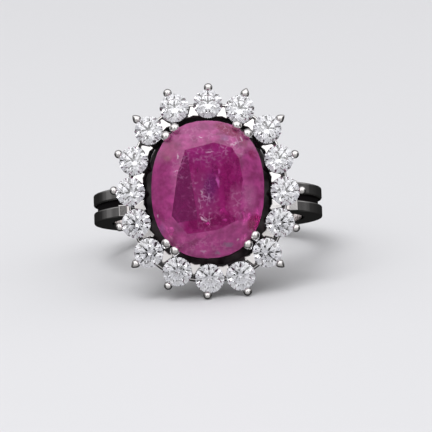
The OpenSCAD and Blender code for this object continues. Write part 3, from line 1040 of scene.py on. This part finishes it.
def markInside(thing, look):
    # Marks the faces round the ruby that look at it or forwards, which get painted shade
    mesh = thing.data
    marks = mesh.attributes.new("inside", "FLOAT", "FACE")
    low, high = look["insideReach"]
    for face, mark in zip(mesh.polygons, marks.data):
        x, y, z = face.center
        edge = ovalRadius(*look["insideHalf"], halo["power"], math.atan2(y, x))
        inwards = face.normal.x * x + face.normal.y * y < 0
        held = inwards or face.normal.z > look["insideFacing"]
        mark.value = float(math.hypot(x, y) < edge and low < z < high and held)


flatWeight = 90                 # how strongly the larger face leads, of 100


def finishPiece(base, material, nodes, sharpAngle):
    # Puts the mesh in the model's frame, with one material and crisp edges only where it turns.
    # Large flat faces keep their own direction, so that they mirror as flats do.
    mesh = base.data
    mesh.materials.clear()
    mesh.materials.append(material)
    mesh.shade_smooth()
    mesh.set_sharp_from_angle(angle=math.radians(sharpAngle))
    modifier = base.modifiers.new("flatFaces", "WEIGHTED_NORMAL")
    modifier.keep_sharp = True
    modifier.weight = flatWeight
    modifier.thresh = 0
    name = base.name
    base.name = "rough"
    thing = bakedCopy(name, base)
    removeThings([base])
    mesh = thing.data
    mesh.transform(headFrame)
    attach(thing, "root")
    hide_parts(*nodes)
    print(thing.name, len(mesh.polygons), "faces")


shankMesh = makeShank(shank)
print("shank made")
otherMetal = [makeShoulders(shoulder)] + [makeRail(name) for name in ("foot", "halo", "basket")]
otherMetal += [makeLeaves(claw)] + makeClawTips(claw)
otherMetal += [makePlates(plate), makeRubyClaws(rubyClaw)]
rooms = [makeDiamondRooms(brilliant), stoneCopy("rubyRoom", "ruby", halo["gap"])]
ringMetal = combine("ringMetal", shankMesh, otherMetal, rooms)
markInside(ringMetal, whiteGoldLook)
finishPiece(ringMetal, whiteGold, ["ring_mount"], whiteGoldLook["sharpAngle"])
print("metal made")

rubyStone = stoneCopy("rubyStone", "ruby", 0)
finishPiece(rubyStone, rubyRed, ["ruby"], rubyLook["sharpAngle"])

for name in stoneNames:
    for slot in frame["nodes"][name].material_slots:
        slot.material = diamond
print("stones set")


# Floor and light
floorLook = {"colour": "#D0D0D3", "roughness": 0.55, "halfSize": 1.5}


def makeFloor(look):
    # The metal does not mirror the board, as if a dark card stood between them
    board = endMaterial(newMaterial("matteBoard"), {
        "Base Color": linearColour(look["colour"]), "Roughness": look["roughness"]})
    work = bmesh.new()
    half = look["halfSize"]
    corners = [(-half, -half), (half, -half), (half, half), (-half, half)]
    work.faces.new([work.verts.new((x, y, cadLow.z)) for x, y in corners])
    floor = meshObject("floor", work)
    floor.data.materials.append(board)
    floor.visible_glossy = False


# A light tent round the ring. Columns: angle from the lens in degrees, brightness
tentChart = [(0, 1.2), (40, 1.2), (60, 1.05), (90, 0.95), (110, 0.6), (125, 0.22), (145, 0.12),
             (180, 0.08)]
tent = {
    "seen": "#E6E6E8",
    "slot": (0.345, 0.2),       # half size of the opening for the lens, as sines
    "slotMiddle": (-0.011, 0.08),  # from the lens
    "slotEdge": (0.8, 1.1),     # where it begins and ends to brighten, as shares of its size
    "slotLight": 0.04,
    "flags": (0.84, 0.94),      # where the dark flags at both sides begin and are full, as sines
    "flagLight": 0.2,
    "slope": (0.38, 1.27),      # shares of the light from below and from above the lens's line
    "slopeSpan": (-0.5, 0.5),   # sines between which it changes
    "below": 0.2,               # share of the light that is left behind the ring, below it
    "belowSpan": (0.02, -0.12),
    "behindSpan": (0.1, -0.25),
    "keyDirection": (-0.25, -0.3, 0.9),
    "keyDistance": 0.6,         # m
    "keySize": 0.35,            # m
    "keyPower": 1.6,            # W
}


def makeTent(look):
    # Bright in front, dim behind, darker still below there, with a dark slot for the lens
    world = bpy.data.worlds.new("lightTent")
    scene.world = world
    world.use_nodes = True
    tree = world.node_tree
    tree.nodes.clear()
    direction = addNode(tree, "ShaderNodeTexCoord").outputs["Generated"]
    facing, across, over = [addNode(tree, "ShaderNodeVectorMath", {
        "operation": "DOT_PRODUCT", 0: direction, 1: axis}).outputs["Value"]
        for axis in (-ahead, pictureRight, pictureUp)]
    angle = addNode(tree, "ShaderNodeMath", {"operation": "ARCCOSINE", 0: facing}).outputs[0]
    share = addNode(tree, "ShaderNodeMapRange", {"From Max": math.pi, "Value": angle}).outputs[0]
    ramp = addNode(tree, "ShaderNodeValToRGB", {0: share})
    stops = ramp.color_ramp.elements
    for degrees, _ in tentChart[1:-1]:
        stops.new(degrees / 180)
    most = max(bright for _, bright in tentChart)
    for stop, (_, bright) in zip(stops, tentChart):
        stop.color = (bright / most,) * 3 + (1,)
    slot = addNode(tree, "ShaderNodeCombineXYZ", {"X": across, "Y": over}).outputs[0]
    slot = addNode(tree, "ShaderNodeVectorMath", {
        "operation": "SUBTRACT", 0: slot, 1: (*look["slotMiddle"], 0)}).outputs[0]
    slot = addNode(tree, "ShaderNodeVectorMath", {
        "operation": "DIVIDE", 0: slot, 1: (*look["slot"], 1)}).outputs[0]
    slot = addNode(tree, "ShaderNodeVectorMath", {"operation": "LENGTH", 0: slot}).outputs["Value"]
    height = addNode(tree, "ShaderNodeSeparateXYZ", {0: direction}).outputs["Z"]
    aside = addNode(tree, "ShaderNodeMath", {"operation": "ABSOLUTE", 0: across}).outputs[0]
    # Each change of the light: what it follows, between which values, and from what to what
    slot, low, behind, flag, slope = [addNode(tree, "ShaderNodeMapRange", {
        "From Min": span[0], "From Max": span[1], "To Min": ends[0], "To Max": ends[1],
        "Value": value}).outputs[0] for value, span, ends in (
            (slot, look["slotEdge"], (look["slotLight"], 1)),
            (height, look["belowSpan"], (0, 1)),
            (facing, look["behindSpan"], (0, look["below"] - 1)),
            (aside, look["flags"], (1, look["flagLight"])),
            (over, look["slopeSpan"], look["slope"]))]
    back = addNode(tree, "ShaderNodeMath", {"operation": "LESS_THAN", 0: facing, 1: 0}).outputs[0]
    slot = together(tree, "MAXIMUM", [slot, back])
    kept = addNode(tree, "ShaderNodeMath", {
        "operation": "MULTIPLY_ADD", 0: low, 1: behind, 2: 1.0}).outputs[0]
    kept = together(tree, "MULTIPLY", [kept, slot, flag, slope, most])
    light = addNode(tree, "ShaderNodeBackground", {
        "Color": ramp.outputs[0], "Strength": kept}).outputs[0]
    seen = addNode(tree, "ShaderNodeBackground", {"Color": linearColour(look["seen"])}).outputs[0]
    toLens = addNode(tree, "ShaderNodeLightPath").outputs["Is Camera Ray"]
    mix = addNode(tree, "ShaderNodeMixShader", {0: toLens, 1: light, 2: seen}).outputs[0]
    addNode(tree, "ShaderNodeOutputWorld", {"Surface": mix})


def makeKeyLight(look):
    # A large soft lamp above, which gives the ring its shadow
    data = bpy.data.lights.new("topBox", "AREA")
    data.shape = "SQUARE"
    data.size = look["keySize"]
    data.energy = look["keyPower"]
    lamp = addObject("topBox", data)
    out = Vector(look["keyDirection"]).normalized()
    turn = out.to_track_quat("Z", "Y").to_matrix().to_4x4()
    lamp.matrix_world = Matrix.Translation(out * look["keyDistance"]) @ turn
    lamp.visible_glossy = False


makeFloor(floorLook)
makeTent(tent)
makeKeyLight(tent)
scene.view_settings.view_transform = "Standard"
print("floor and light made")
